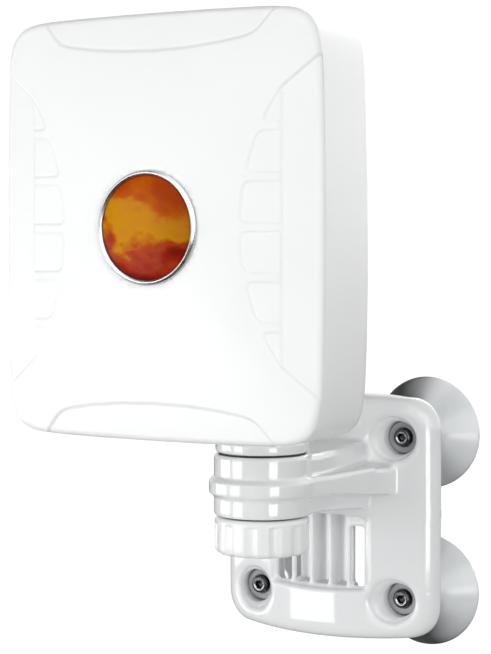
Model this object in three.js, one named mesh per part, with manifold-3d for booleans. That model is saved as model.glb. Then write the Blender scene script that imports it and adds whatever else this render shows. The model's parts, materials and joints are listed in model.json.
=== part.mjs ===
// Flat-panel outdoor antenna on a swivelling window bracket held by four suction cups.
// Millimetres. +Z is up, +Y points at the window, +X is to the right seen from the front.
// The origin is the centre of the four cups, in the plane of the glass.
import * as THREE from "three";
import { mergeVertices } from "three/addons/utils/BufferGeometryUtils.js";
import Module from "manifold-3d";

// Suction cups
const CUP_OFFSET = 39; // from the centre to each cup's axis, across and up
const CUP_RADIUS = 27.5;
const CUP_LIP = 2; // width of the flat sealing lip
const CUP_HOLLOW = 3;
const CUP_TOP_Y = -21.2;
const STEM_RADIUS = 9.5;

// Bracket plate
const PLATE_HALF_WIDTH = 58.5;
const PLATE_TOP = 60;
const PLATE_BOTTOM = -59;
const PLATE_CROWN_Y = -45;
const PLATE_BEND_RADIUS = 130;
const PLATE_RIM_Y = -26;
const PLATE_WALL = 3;
const PLATE_EDGE_ROUND = 4.5;
const BOSS_RADIUS = 11;
const BOSS_BACK_Y = -21.6;
const SEAT_Y = -24.9; // floor of each screw's counterbore
const COUNTERBORE_RADIUS = 8;
const SCOOP_RADIUS = 12.5;

// Strap slots and the ribs between them
const RECESS_HALF_WIDTH = 27;
const RECESS_TOP = 0.5;
const RECESS_BOTTOM = -35;
const RECESS_Y = -40.4;
const SLOT_INNER = 16;
const SLOT_OUTER = 23.5;
const SLOT_TOP = -4;
const SLOT_BOTTOM = -33;
const RIB_FLOOR_Y = -32.4;

// Screws that hold the plate on the cups (M5 cap head)
const SCREW_HEAD_RADIUS = 4.25;
const SCREW_HEAD_HEIGHT = 5;
const SCREW_RADIUS = 2.5;
const HEX_SOCKET = 4; // across flats
const CUP_WASHER_RADIUS = 7.6;
const CUP_WASHER_HEIGHT = 3.6;

// Swivel: barrel on the arm, collar above it, clamp nut below it
const AXIS_Y = -98.4;
const BARREL_RADIUS = 22;
const BARREL_BOTTOM = 8.2;
const BARREL_TOP = 36.2;
const RIDGE_RADIUS = 24.1;
const RIDGE_BOTTOM = 17.4;
const RIDGE_TOP = 26.5;
const BORE_RADIUS = 14.2;
const SPIGOT_RADIUS = 13.9;
const THREAD_RADIUS = 12;
const COLLAR_RADIUS = 21.5;
const COLLAR_BOTTOM = 37.1;
const COLLAR_TOP = 42.6;
const NUT_RADIUS = 21.6;
const NUT_TOP = 7.5;
const NUT_BOTTOM = -9.3;
const NUT_LOBES = 12;

// Panel
const PANEL_Z = 138.1;
const PANEL_HALF_WIDTH = 77;
const PANEL_HALF_HEIGHT = 88.3;
const PANEL_EDGE_Y = -188.7; // where the side wall turns into the domed front
const DOME_RISE = 7;
const PANEL_BACK_EDGE_Y = -146.8;
const COVER_BACK_Y = -132;
const PANEL_WALL = 2.5;
const GROOVE_DEPTH = 0.6;
const GROOVE_WIDTH = 1;
const LINE_X = 60; // straight grooves, either side of the centre
const PAD_ARC_RADIUS = 96;
const PAD_ARC_APEX = 42.7;
const PAD_PITCH = 20;
const PAD_GAP = 4;

const FINEST = 0.05; // facets closer to flat than this are merged

// Badge
const BADGE_RADIUS = 23.7;
const BADGE_FLOOR_Y = -194.4;

const wasm = await Module();
wasm.setup();

// ---- helpers ----

function solid(geometry) {
  const flat = geometry.index ? geometry.toNonIndexed() : geometry;
  const plain = new THREE.BufferGeometry().setAttribute("position", flat.getAttribute("position"));
  const merged = mergeVertices(plain, 1e-4);
  const index = merged.index.array;
  const kept = [];
  for (let i = 0; i < index.length; i += 3) {
    const [a, b, c] = [index[i], index[i + 1], index[i + 2]];
    if (a !== b && b !== c && a !== c) {
      kept.push(a, b, c);
    }
  }
  const build = (tris) =>
    new wasm.Manifold(
      new wasm.Mesh({
        numProp: 3,
        vertProperties: merged.attributes.position.array,
        triVerts: new Uint32Array(tris),
      }),
    );
  const made = build(kept);
  if (made.volume() > 0) {
    return made;
  }
  for (let i = 0; i < kept.length; i += 3) {
    [kept[i + 1], kept[i + 2]] = [kept[i + 2], kept[i + 1]];
  }
  return build(kept);
}

// Turned solid about the vertical line through (x, y); profile holds [radius, z].
function turnedZ(profile, x, y, segments) {
  const points = profile.map(([r, z]) => new THREE.Vector2(r, z));
  const g = new THREE.LatheGeometry(points, segments);
  g.rotateX(Math.PI / 2);
  g.translate(x, y, 0);
  return solid(g);
}

// Turned solid about the line along Y through (x, z); profile holds [radius, y].
function turnedY(profile, x, z, segments) {
  const points = profile.map(([r, y]) => new THREE.Vector2(r, y));
  const g = new THREE.LatheGeometry(points, segments);
  g.translate(x, 0, z);
  return solid(g);
}

function rodY(radius, x, z, y0, y1, segments = 20) {
  return turnedY([[0, y0], [radius, y0], [radius, y1], [0, y1]], x, z, segments);
}

function rodZ(radius, x, y, z0, z1, segments = 32) {
  return turnedZ([[0, z0], [radius, z0], [radius, z1], [0, z1]], x, y, segments);
}

function box(x0, x1, y0, y1, z0, z1) {
  const g = new THREE.BoxGeometry(x1 - x0, y1 - y0, z1 - z0);
  g.translate((x0 + x1) / 2, (y0 + y1) / 2, (z0 + z1) / 2);
  return solid(g);
}

// A flat shape in X and Z, carried along Y from y0 to y1.
function prismY(points, y0, y1) {
  const shape = new THREE.Shape(points.map(([x, z]) => new THREE.Vector2(x, z)));
  const g = new THREE.ExtrudeGeometry(shape, { depth: y1 - y0, bevelEnabled: false });
  g.rotateX(Math.PI / 2);
  g.translate(0, y1, 0);
  return solid(g);
}

// A skin over rings of equal point counts, closed at both ends.
function loft(rings) {
  const position = [];
  const count = rings[0].length;
  const push = (a, b, c) => position.push(...a, ...b, ...c);
  for (let k = 0; k + 1 < rings.length; k++) {
    for (let i = 0; i < count; i++) {
      const j = (i + 1) % count;
      push(rings[k][i], rings[k][j], rings[k + 1][i]);
      push(rings[k][j], rings[k + 1][j], rings[k + 1][i]);
    }
  }
  const middle = (ring) => [0, 1, 2].map((n) => ring.reduce((s, p) => s + p[n], 0) / count);
  const first = rings[0];
  const last = rings[rings.length - 1];
  const start = middle(first);
  const end = middle(last);
  for (let i = 0; i < count; i++) {
    const j = (i + 1) % count;
    push(first[j], first[i], start);
    push(last[i], last[j], end);
  }
  const g = new THREE.BufferGeometry();
  g.setAttribute("position", new THREE.BufferAttribute(new Float32Array(position), 3));
  return solid(g);
}

// Rounded square with slightly bowed sides; power sets how tight the corners are.
function softSquare(halfX, halfZ, power, bowX, bowZ, count) {
  const ring = [];
  for (let i = 0; i < count; i++) {
    const t = (i / count) * Math.PI * 2;
    const c = Math.cos(t);
    const s = Math.sin(t);
    const u = Math.sign(c) * Math.abs(c) ** (2 / power);
    const v = Math.sign(s) * Math.abs(s) ** (2 / power);
    ring.push([halfX * u - bowX * u * v * v, halfZ * v - bowZ * v * u * u]);
  }
  return ring;
}

// A line of the given width along points, as an outline.
function strip(points, width) {
  const left = [];
  const right = [];
  points.forEach((p, i) => {
    const a = points[Math.max(i - 1, 0)];
    const b = points[Math.min(i + 1, points.length - 1)];
    const length = Math.hypot(b[0] - a[0], b[1] - a[1]);
    const nx = ((a[1] - b[1]) / length) * (width / 2);
    const nz = ((b[0] - a[0]) / length) * (width / 2);
    left.push([p[0] + nx, p[1] + nz]);
    right.unshift([p[0] - nx, p[1] - nz]);
  });
  return [...left, ...right];
}

// The biggest body of a cut: a groove that meets a facet edge can leave a speck behind.
function largest(made) {
  return made.decompose().sort((a, b) => b.volume() - a.volume())[0];
}

const group = new THREE.Group();
group.name = "panel_antenna";

function place(name, made, color, roughness = 0.5, metalness = 0) {
  const mesh = largest(made.asOriginal().simplify(FINEST)).getMesh();
  const g = new THREE.BufferGeometry();
  const n = mesh.numProp;
  const v = new Float32Array(mesh.numVert * 3);
  for (let i = 0; i < mesh.numVert; i++) {
    v.set(mesh.vertProperties.subarray(i * n, i * n + 3), i * 3);
  }
  g.setAttribute("position", new THREE.BufferAttribute(v, 3));
  g.setIndex(new THREE.BufferAttribute(new Uint32Array(mesh.triVerts), 1));
  g.computeVertexNormals();
  const item = new THREE.Mesh(g, new THREE.MeshStandardMaterial({ color, roughness, metalness }));
  item.name = name;
  group.add(item);
}

const WHITE = 0xf2f3f2;
const CUP_GREY = 0xe4e7e9;
const BLACK = 0x17181a;
const STEEL = 0xb9bcc0;
const BRASS = 0xb08d4a;

// ---- suction cups, inserts, screws and washers, one set at each corner ----

const CORNERS = [
  ["upper_right", 1, 1],
  ["upper_left", -1, 1],
  ["lower_right", 1, -1],
  ["lower_left", -1, -1],
];

function suctionCup(x, z) {
  const cup = turnedY(
    [
      [0, -CUP_HOLLOW],
      [16, -2.2],
      [CUP_RADIUS - CUP_LIP, 0],
      [CUP_RADIUS, 0],
      [CUP_RADIUS, -0.9],
      [20.5, -6],
      [14.2, -11.5],
      [STEM_RADIUS, -18],
      [STEM_RADIUS, CUP_TOP_Y],
      [0, CUP_TOP_Y],
    ],
    x,
    z,
    28,
  );
  return cup.subtract(rodY(4.6, x, z, CUP_TOP_Y - 1, -8.7, 12));
}

function cupInsert(x, z) {
  return turnedY([[2.8, -20.9], [4.3, -20.9], [4.3, -9], [2.8, -9], [2.8, -20.9]], x, z, 12);
}

function capScrew(x, z) {
  const seat = SEAT_Y - 1.7;
  const top = seat - SCREW_HEAD_HEIGHT;
  const body = turnedY(
    [
      [0, top],
      [SCREW_HEAD_RADIUS - 0.5, top],
      [SCREW_HEAD_RADIUS, top + 0.5],
      [SCREW_HEAD_RADIUS, seat],
      [SCREW_RADIUS, seat],
      [SCREW_RADIUS, -10],
      [0, -10],
    ],
    x,
    z,
    18,
  );
  const socket = new THREE.CylinderGeometry(HEX_SOCKET / Math.sqrt(3), HEX_SOCKET / Math.sqrt(3), 3.2, 6);
  socket.translate(x, top + 1.5, z);
  return body.subtract(solid(socket));
}

function screwWasher(x, z) {
  const back = SEAT_Y - 0.3;
  const seat = back - 1.1;
  const front = back - CUP_WASHER_HEIGHT;
  return turnedY(
    [
      [2.8, seat],
      [4.8, seat],
      [4.8, front],
      [CUP_WASHER_RADIUS, front],
      [CUP_WASHER_RADIUS, back],
      [2.8, back],
      [2.8, seat],
    ],
    x,
    z,
    20,
  );
}

for (const [corner, sx, sz] of CORNERS) {
  const x = sx * CUP_OFFSET;
  const z = sz * CUP_OFFSET;
  place("suction_cup_" + corner, suctionCup(x, z), CUP_GREY, 0.25);
  place("cup_insert_" + corner, cupInsert(x, z), BRASS, 0.35, 0.9);
  place("cap_screw_" + corner, capScrew(x, z), STEEL, 0.3, 0.9);
  place("screw_washer_" + corner, screwWasher(x, z), CUP_GREY, 0.4);
}

// ---- bracket: bowed plate, arm and swivel barrel in one moulding ----

function plateFront(x) {
  return PLATE_CROWN_Y + PLATE_BEND_RADIUS - Math.sqrt(PLATE_BEND_RADIUS ** 2 - x * x);
}

function plateRing(inset, scale, yOf) {
  const middle = (PLATE_TOP + PLATE_BOTTOM) / 2;
  const half = (PLATE_TOP - PLATE_BOTTOM) / 2;
  const ring = softSquare(PLATE_HALF_WIDTH - inset, half - inset, 8, 0.6, 3, 44);
  return ring.map(([x, z]) => [x * scale, yOf(x * scale), middle + z * scale]);
}

function plateBody(inset, lift, backY) {
  const round = PLATE_EDGE_ROUND - inset * 0.5;
  const rings = [plateRing(inset, 1, () => backY)];
  for (const step of [0, 0.5, 1]) {
    const angle = (step * Math.PI) / 2;
    const inwards = round * (1 - Math.cos(angle));
    const back = round * (1 - Math.sin(angle));
    rings.push(plateRing(inset + inwards, 1, (x) => plateFront(x) + lift + back));
  }
  for (const scale of [0.74, 0.48, 0.2]) {
    rings.push(plateRing(inset + round, scale, (x) => plateFront(x) + lift));
  }
  return loft(rings);
}

function rectRing(halfX, z0, z1, y) {
  return [[-halfX, y, z0], [halfX, y, z0], [halfX, y, z1], [-halfX, y, z1]];
}

// Arm from the barrel to the plate, wider at the plate.
function armPiece(halfAtBarrel, halfAtPlate, zBarrel, zPlate) {
  const rings = [];
  const start = AXIS_Y;
  const end = -39;
  for (let k = 0; k <= 7; k++) {
    const s = k / 7;
    const past = Math.max(0, (s - 0.42) / 0.58); // 0 until the arm has cleared the barrel
    const half = halfAtBarrel + (halfAtPlate - halfAtBarrel) * s;
    const z0 = zBarrel[0] + (zPlate[0] - zBarrel[0]) * past;
    const z1 = zBarrel[1] + (zPlate[1] - zBarrel[1]) * past;
    rings.push(rectRing(half, z0, z1, start + (end - start) * s));
  }
  return loft(rings);
}

function barrel() {
  return turnedZ(
    [
      [0, BARREL_BOTTOM],
      [BARREL_RADIUS - 1, BARREL_BOTTOM],
      [BARREL_RADIUS, BARREL_BOTTOM + 1],
      [BARREL_RADIUS, RIDGE_BOTTOM - 0.4],
      [RIDGE_RADIUS, RIDGE_BOTTOM + 1.4],
      [RIDGE_RADIUS, RIDGE_TOP - 1.4],
      [BARREL_RADIUS, RIDGE_TOP + 0.4],
      [BARREL_RADIUS, BARREL_TOP - 1],
      [BARREL_RADIUS - 1, BARREL_TOP],
      [0, BARREL_TOP],
    ],
    0,
    AXIS_Y,
    36,
  );
}

function roundedSlot(x0, x1, z0, z1, radius) {
  const points = [];
  const centres = [[x1, z1, 0], [x0, z1, 1], [x0, z0, 2], [x1, z0, 3]];
  for (const [x, z, quarter] of centres) {
    const cx = x + (x === x1 ? -radius : radius);
    const cz = z + (z === z1 ? -radius : radius);
    for (let k = 0; k <= 2; k++) {
      const angle = ((quarter + k / 2) * Math.PI) / 2;
      points.push([cx + radius * Math.cos(angle), cz + radius * Math.sin(angle)]);
    }
  }
  return points;
}

function wallBracket() {
  let body = plateBody(0, 0, PLATE_RIM_Y);
  body = body.subtract(plateBody(PLATE_WALL, PLATE_WALL, PLATE_RIM_Y + 6));
  const envelope = plateBody(1, 1, PLATE_RIM_Y);
  const within = (piece) => piece.intersect(envelope);

  // stiffening ribs behind the plate
  body = body.add(within(box(-29, -27, -50, PLATE_RIM_Y, -60, 64)));
  body = body.add(within(box(27, 29, -50, PLATE_RIM_Y, -60, 64)));
  body = body.add(within(box(-60, 60, -50, PLATE_RIM_Y, 2, 4)));
  body = body.add(within(box(-60, 60, -50, PLATE_RIM_Y, -38, -36)));
  for (const [, sx, sz] of CORNERS) {
    const boss = rodY(BOSS_RADIUS, sx * CUP_OFFSET, sz * CUP_OFFSET, -36, BOSS_BACK_Y, 18);
    const front = within(rodY(BOSS_RADIUS, sx * CUP_OFFSET, sz * CUP_OFFSET, -50, -30, 18));
    body = body.add(boss).add(front);
  }

  // dished field for the strap, with sloping edges
  const dish = loft([
    rectRing(RECESS_HALF_WIDTH + 4, RECESS_BOTTOM - 4, RECESS_TOP + 1, -48),
    rectRing(RECESS_HALF_WIDTH - 2, RECESS_BOTTOM + 1, RECESS_TOP, RECESS_Y),
  ]);
  const backing = box(-RECESS_HALF_WIDTH, RECESS_HALF_WIDTH, RECESS_Y, RECESS_Y + PLATE_WALL, -36, 4);
  body = body.add(within(backing)).subtract(dish);

  // grille between the two slots: four ribs on a floor
  body = body.add(box(-SLOT_INNER, SLOT_INNER, RECESS_Y, RIB_FLOOR_Y + 2, -36.5, 3.5));
  for (const middle of [-10, 0, 10]) {
    const half = 4.1;
    const valley = roundedSlot(middle - half, middle + half, SLOT_BOTTOM - 0.5, -1.5, 1.2);
    body = body.subtract(prismY(valley, -50, RIB_FLOOR_Y));
  }
  for (const side of [-1, 1]) {
    const low = Math.min(side * SLOT_INNER, side * SLOT_OUTER);
    const high = Math.max(side * SLOT_INNER, side * SLOT_OUTER);
    body = body.subtract(prismY(roundedSlot(low, high, SLOT_BOTTOM, SLOT_TOP, 1.6), -52, -20));
  }

  // screw pockets, one at each corner
  for (const [, sx, sz] of CORNERS) {
    const x = sx * CUP_OFFSET;
    const z = sz * CUP_OFFSET;
    const pocket = turnedY(
      [
        [0, -48],
        [SCOOP_RADIUS, -47],
        [SCOOP_RADIUS, -38.6],
        [COUNTERBORE_RADIUS, -33],
        [COUNTERBORE_RADIUS, SEAT_Y],
        [2.9, SEAT_Y],
        [2.9, -15],
        [0, -15],
      ],
      x,
      z,
      22,
    );
    body = body.subtract(pocket);
  }

  // arm: tall web with a wider band around its middle
  const web = armPiece(BARREL_RADIUS - 0.6, 27, [BARREL_BOTTOM + 0.4, BARREL_TOP - 0.4], [5, 38.5]);
  const band = armPiece(RIDGE_RADIUS - 0.6, 40, [RIDGE_BOTTOM, RIDGE_TOP], [12.5, 28]);
  const ahead = box(-60, 60, -140, -34, -10, 60).subtract(plateBody(PLATE_WALL, PLATE_WALL, PLATE_RIM_Y + 6));
  body = body.add(web.add(band).intersect(ahead)).add(barrel());
  body = body.subtract(box(-17, -1.5, -72, -50, 0, 30)).subtract(box(1.5, 17, -72, -50, 0, 30));
  body = body.subtract(rodZ(BORE_RADIUS, 0, AXIS_Y, 0, 50, 28));
  body = body.subtract(rodZ(20, 0, AXIS_Y, BARREL_TOP - 0.9, 50, 28));

  return body;
}

place("wall_bracket", wallBracket(), WHITE, 0.3);

const ringBottom = BARREL_TOP - 0.8;
const ringTop = COLLAR_BOTTOM - 0.1;
place(
  "friction_ring",
  turnedZ(
    [[14.6, ringBottom], [19.6, ringBottom], [19.6, ringTop], [14.6, ringTop], [14.6, ringBottom]],
    0,
    AXIS_Y,
    28,
  ),
  BLACK,
  0.8,
);

// ---- swivel foot: collar, threaded spigot and the elbow up to the panel's back ----

function elbow() {
  const rings = [];
  for (let k = 0; k <= 6; k++) {
    const s = k / 6;
    const ring = [];
    for (let i = 0; i < 24; i++) {
      const t = (i / 24) * Math.PI * 2;
      const c = Math.cos(t);
      const w = Math.sin(t);
      const low = [17 * c, AXIS_Y + 17 * w, COLLAR_TOP - 1];
      const mid = [16 * c, AXIS_Y - 2 + 13 * w, 84 + 13 * w];
      const high = [19 * c, -128.5, 94 + 21 * w];
      ring.push(
        [0, 1, 2].map((n) => (1 - s) ** 2 * low[n] + 2 * s * (1 - s) * mid[n] + s * s * high[n]),
      );
    }
    rings.push(ring);
  }
  return loft(rings);
}

const FOOT_SCREWS = [[23, 77.5], [-23, 77.5], [23, 110.5], [-23, 110.5]];
const FOOT_FACE_Y = COVER_BACK_Y + 0.3;
const FOOT_BACK_Y = FOOT_FACE_Y + 4;

function swivelFoot() {
  let foot = turnedZ(
    [
      [0, -5.5],
      [THREAD_RADIUS - 1, -5.5],
      [THREAD_RADIUS, -4.5],
      [THREAD_RADIUS, 8.6],
      [SPIGOT_RADIUS, 9.4],
      [SPIGOT_RADIUS, COLLAR_BOTTOM],
      [COLLAR_RADIUS - 0.6, COLLAR_BOTTOM],
      [COLLAR_RADIUS, COLLAR_BOTTOM + 0.6],
      [COLLAR_RADIUS, COLLAR_TOP - 1.4],
      [COLLAR_RADIUS - 1.4, COLLAR_TOP],
      [0, COLLAR_TOP],
    ],
    0,
    AXIS_Y,
    32,
  );
  foot = foot.add(elbow());
  const flange = softSquare(31, 24, 6, 0, 0, 28).map(([x, z]) => [x, z + 94]);
  foot = foot.add(prismY(flange, FOOT_FACE_Y, FOOT_BACK_Y));
  foot = foot.subtract(rodZ(9, 0, AXIS_Y, -20, 40, 20));
  foot = foot.subtract(box(-2, 2, AXIS_Y - 14, AXIS_Y - 10.4, -20, 8.4));
  for (const [x, z] of FOOT_SCREWS) {
    foot = foot.subtract(rodY(2.3, x, z, -140, -120, 10));
  }
  return foot;
}

place("swivel_foot", swivelFoot(), WHITE, 0.3);

function panScrew(x, z, seatY, tipY, headRadius, headHeight, radius) {
  const top = seatY + headHeight;
  const body = turnedY(
    [
      [0, tipY],
      [radius, tipY],
      [radius, seatY],
      [headRadius, seatY],
      [headRadius, top - 1.2],
      [headRadius - 1.2, top],
      [0, top],
    ],
    x,
    z,
    12,
  );
  const slotA = box(x - 0.6, x + 0.6, top - 1.4, top + 1, z - 2.2, z + 2.2);
  const slotB = box(x - 2.2, x + 2.2, top - 1.4, top + 1, z - 0.6, z + 0.6);
  return body.subtract(slotA.add(slotB));
}

FOOT_SCREWS.forEach(([x, z], i) => {
  place("foot_screw_" + (i + 1), panScrew(x, z, FOOT_BACK_Y + 0.2, -140.5, 4, 2.8, 1.9), STEEL, 0.3, 0.9);
});

// ---- thrust washer and clamp nut below the barrel ----

function thrustWasher() {
  const bottom = 7.05;
  const top = BARREL_BOTTOM - 0.1;
  const ring = turnedZ(
    [[12.4, bottom], [17, bottom], [17, top], [12.4, top], [12.4, bottom]],
    0,
    AXIS_Y,
    28,
  );
  return ring.add(box(-1.6, 1.6, AXIS_Y - 13.5, AXIS_Y - 10.8, bottom, top));
}

place("thrust_washer", thrustWasher(), BLACK, 0.8);

function nutRing(depth, inset, z) {
  const ring = [];
  const count = NUT_LOBES * 6;
  for (let i = 0; i < count; i++) {
    const t = (i / count) * Math.PI * 2;
    const wave = Math.abs(Math.sin((NUT_LOBES * t) / 2));
    const notch = wave < 0.5 ? 1 - wave / 0.5 : 0;
    const r = NUT_RADIUS - inset - depth * notch;
    ring.push([r * Math.cos(t), AXIS_Y + r * Math.sin(t), z]);
  }
  return ring;
}

function clampNut() {
  let nut = loft([
    nutRing(0, 2.6, NUT_BOTTOM),
    nutRing(1.3, 0, NUT_BOTTOM + 2.2),
    nutRing(1.3, 0, NUT_TOP - 3.6),
    nutRing(0.2, 0.5, NUT_TOP - 2.4),
    nutRing(0, 0.5, NUT_TOP - 0.8),
    nutRing(0, 1.2, NUT_TOP),
  ]);
  nut = nut.subtract(rodZ(12.4, 0, AXIS_Y, -20, 20, 32));
  return nut.subtract(rodZ(17.4, 0, AXIS_Y, 6.85, 20, 32));
}

place("clamp_nut", clampNut(), WHITE, 0.35);

// ---- panel: domed radome, back cover and gasket ----

const PANEL_POINTS = 36;

function panelRing(inset, y, scale = 1) {
  const ring = softSquare(PANEL_HALF_WIDTH - inset, PANEL_HALF_HEIGHT - inset, 12, 2, 1.2, PANEL_POINTS);
  return ring.map(([x, z]) => [x * scale, y, PANEL_Z + z * scale]);
}

function radomeBody(inset, lift, backY) {
  const round = 3.5;
  const rings = [panelRing(inset, backY)];
  for (const step of [0, 0.5, 1]) {
    const angle = (step * Math.PI) / 2;
    const inwards = round * (1 - Math.cos(angle));
    const back = round * (1 - Math.sin(angle));
    rings.push(panelRing(inset + inwards, PANEL_EDGE_Y + lift + back));
  }
  for (const scale of [0.8, 0.58, 0.32]) {
    rings.push(panelRing(inset + round, PANEL_EDGE_Y + lift - DOME_RISE * (1 - scale ** 2), scale));
  }
  rings.push(panelRing(inset + round, PANEL_EDGE_Y + lift - DOME_RISE, 0.02));
  return loft(rings);
}

function padArc(z) {
  return PAD_ARC_APEX + PAD_ARC_RADIUS - Math.sqrt(PAD_ARC_RADIUS ** 2 - z * z);
}

// Outline of one pad between the straight line and the arc, for z from low to high.
function padOutline(low, high) {
  const inner = [];
  const corner = 2;
  for (let k = 0; k <= 3; k++) {
    const z = low + ((high - low) * k) / 3;
    const nick = k === 0 || k === 3 ? corner : 0;
    inner.push([Math.min(padArc(z) + nick, LINE_X - 0.6), z]);
  }
  return [[LINE_X, low], ...inner, [LINE_X, high]].reverse();
}

function frontGrooves() {
  const lines = [];
  const top = 55;
  lines.push(strip([[LINE_X, -top], [LINE_X, top]], GROOVE_WIDTH));
  for (const up of [-1, 1]) {
    lines.push(strip([[LINE_X, up * (top - 0.4)], [80, up * 69.5]], GROOVE_WIDTH));
  }
  let cutter = null;
  const addCut = (outline, mirrorX) => {
    const points = mirrorX ? outline.map(([x, z]) => [-x, z]).reverse() : outline;
    const piece = prismY(points.map(([x, z]) => [x, z + PANEL_Z]), -205, -170);
    cutter = cutter ? cutter.add(piece) : piece;
  };
  for (const outline of lines) {
    addCut(outline, false);
    addCut(outline, true);
  }
  for (let row = -3; row < 3; row++) {
    const low = row * PAD_PITCH + PAD_GAP / 2;
    const high = Math.min((row + 1) * PAD_PITCH - PAD_GAP / 2, 53);
    addCut(padOutline(Math.max(low, -53), high), false);
    addCut(padOutline(Math.max(low, -53), high), true);
  }
  for (const up of [-1, 1]) {
    const arc = [];
    for (let k = -3; k <= 3; k++) {
      const x = (45.5 * k) / 3;
      arc.push([x, up * (72.6 + 4 * (x / 45.5) ** 2)]);
    }
    const line = [[-56, up * 88], ...arc, [56, up * 88]];
    addCut(up > 0 ? strip(line, GROOVE_WIDTH) : strip(line, GROOVE_WIDTH).reverse(), false);
  }
  return cutter;
}

const COVER_SCREWS = [[59, 68], [-59, 68], [59, -68], [-59, -68]];

function radomeFront() {
  const outer = radomeBody(0, 0, PANEL_BACK_EDGE_Y);
  const belowGrooves = radomeBody(0, 0, PANEL_BACK_EDGE_Y + 5).translate([0, GROOVE_DEPTH, 0]);
  const hollow = radomeBody(PANEL_WALL, PANEL_WALL, PANEL_BACK_EDGE_Y + 5);
  let shell = outer.subtract(hollow);
  // ledge the gasket sits on
  const ledge = loft([panelRing(1, -155.5), panelRing(1, -152.3)]);
  const inside = loft([panelRing(6.4, -157), panelRing(6.4, -151)]);
  shell = shell.add(ledge.subtract(inside));
  // bosses for the cover screws and a thicker pad under the badge
  for (const [x, z] of COVER_SCREWS) {
    const boss = rodY(4.2, x, PANEL_Z + z, -186, -150.8, 14);
    shell = shell.add(boss).subtract(rodY(1.9, x, PANEL_Z + z, -166, -150, 10));
  }
  shell = shell.add(rodY(27, 0, PANEL_Z, -194, -191.6, 28));
  shell = shell.subtract(rodY(BADGE_RADIUS + 0.4, 0, PANEL_Z, -200, BADGE_FLOOR_Y, 40));
  return shell.subtract(frontGrooves().subtract(belowGrooves));
}

place("radome_front", radomeFront(), WHITE, 0.35);

function coverBody(inset, lift, frontY) {
  return loft([
    panelRing(1.2 + inset, frontY),
    panelRing(1.2 + inset, PANEL_BACK_EDGE_Y + 1.6 - lift),
    panelRing(9 + inset, -139 - lift),
    panelRing(14.5 + inset, -133.6 - lift),
    panelRing(17.5 + inset, COVER_BACK_Y - lift),
  ]);
}

const GLAND_X = -42;
const GLAND_Z = 88;
const VENT_X = 42;

function backCover() {
  const seam = PANEL_BACK_EDGE_Y + 0.3;
  let cover = coverBody(0, 0, seam).subtract(coverBody(PANEL_WALL, PANEL_WALL, seam - 4));
  const skirt = loft([panelRing(3, -150), panelRing(3, seam + 1)]);
  const skirtHole = loft([panelRing(5.2, -151), panelRing(5.2, seam + 2)]);
  cover = cover.add(skirt.subtract(skirtHole));
  for (const [x, z] of COVER_SCREWS) {
    const boss = rodY(6, x, PANEL_Z + z, -150.4, -137, 16).intersect(coverBody(0.5, 0.5, -152));
    cover = cover.add(boss);
    cover = cover.subtract(rodY(4.6, x, PANEL_Z + z, -145, -125, 16));
    cover = cover.subtract(rodY(2.3, x, PANEL_Z + z, -152, -140, 10));
  }
  for (const [x, z] of FOOT_SCREWS) {
    cover = cover.add(rodY(4.6, x, z, -143, COVER_BACK_Y - 1, 12));
    cover = cover.subtract(rodY(2.2, x, z, -141.5, -130, 10));
  }
  cover = cover.subtract(rodY(7.9, GLAND_X, GLAND_Z, -140, -130, 20));
  return cover.subtract(rodY(4.4, VENT_X, GLAND_Z, -140, -130, 16));
}

place("back_cover", backCover(), WHITE, 0.4);

const gasketOuter = loft([panelRing(2.9, -152), panelRing(2.9, -150.3)]);
const gasketInner = loft([panelRing(5, -153), panelRing(5, -149)]);
place("cover_gasket", gasketOuter.subtract(gasketInner), BLACK, 0.9);

COVER_SCREWS.forEach(([x, z], i) => {
  place("cover_screw_" + (i + 1), panScrew(x, PANEL_Z + z, -144.8, -162, 3.8, 2.6, 1.7), STEEL, 0.3, 0.9);
});

// ---- badge on the front: rim, coloured disc and clear dome ----

const discFront = BADGE_FLOOR_Y - 1.1;
place(
  "badge_bezel",
  turnedY(
    [
      [21.7, BADGE_FLOOR_Y - 0.2],
      [BADGE_RADIUS, BADGE_FLOOR_Y - 0.2],
      [BADGE_RADIUS, BADGE_FLOOR_Y - 1.8],
      [22.7, BADGE_FLOOR_Y - 2.6],
      [21.7, BADGE_FLOOR_Y - 1.9],
      [21.7, BADGE_FLOOR_Y - 0.2],
    ],
    0,
    PANEL_Z,
    40,
  ),
  0xd8dadc,
  0.15,
  1,
);
place("badge_disc", rodY(21.4, 0, PANEL_Z, discFront, BADGE_FLOOR_Y - 0.2, 36), 0xc8641a, 0.4);
place(
  "badge_dome",
  turnedY(
    [
      [0, discFront - 0.1],
      [21.3, discFront - 0.1],
      [21.3, discFront - 0.5],
      [16, discFront - 1.8],
      [8, discFront - 2.7],
      [0, discFront - 2.9],
    ],
    0,
    PANEL_Z,
    36,
  ),
  0xf0e8d8,
  0.05,
);

// ---- inside the panel: reflector, crossed dipoles, posts and feed block ----

const REFLECTOR_FRONT = -158.6;
let reflector = prismY(
  softSquare(53, 60, 10, 0, 0, 28).map(([x, z]) => [x, z + PANEL_Z]),
  REFLECTOR_FRONT,
  REFLECTOR_FRONT + 1.5,
);
const POSTS = [[38, 50], [-38, 50], [38, -26], [-38, -26]];
for (const [x, z] of POSTS) {
  reflector = reflector.subtract(rodY(2, x, PANEL_Z + z, -165, -150, 10));
}
reflector = reflector.subtract(rodY(5, 0, PANEL_Z, -165, -150, 14));
place("reflector_plate", reflector, 0xc4c7ca, 0.35, 1);

POSTS.forEach(([x, z], i) => {
  const post = turnedY(
    [
      [0, -160.4],
      [1.6, -160.4],
      [1.6, -156.9],
      [3.2, -156.9],
      [3.2, -134.8],
      [0, -134.8],
    ],
    x,
    PANEL_Z + z,
    12,
  );
  place("reflector_post_" + (i + 1), post, BRASS, 0.4, 0.9);
});

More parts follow.
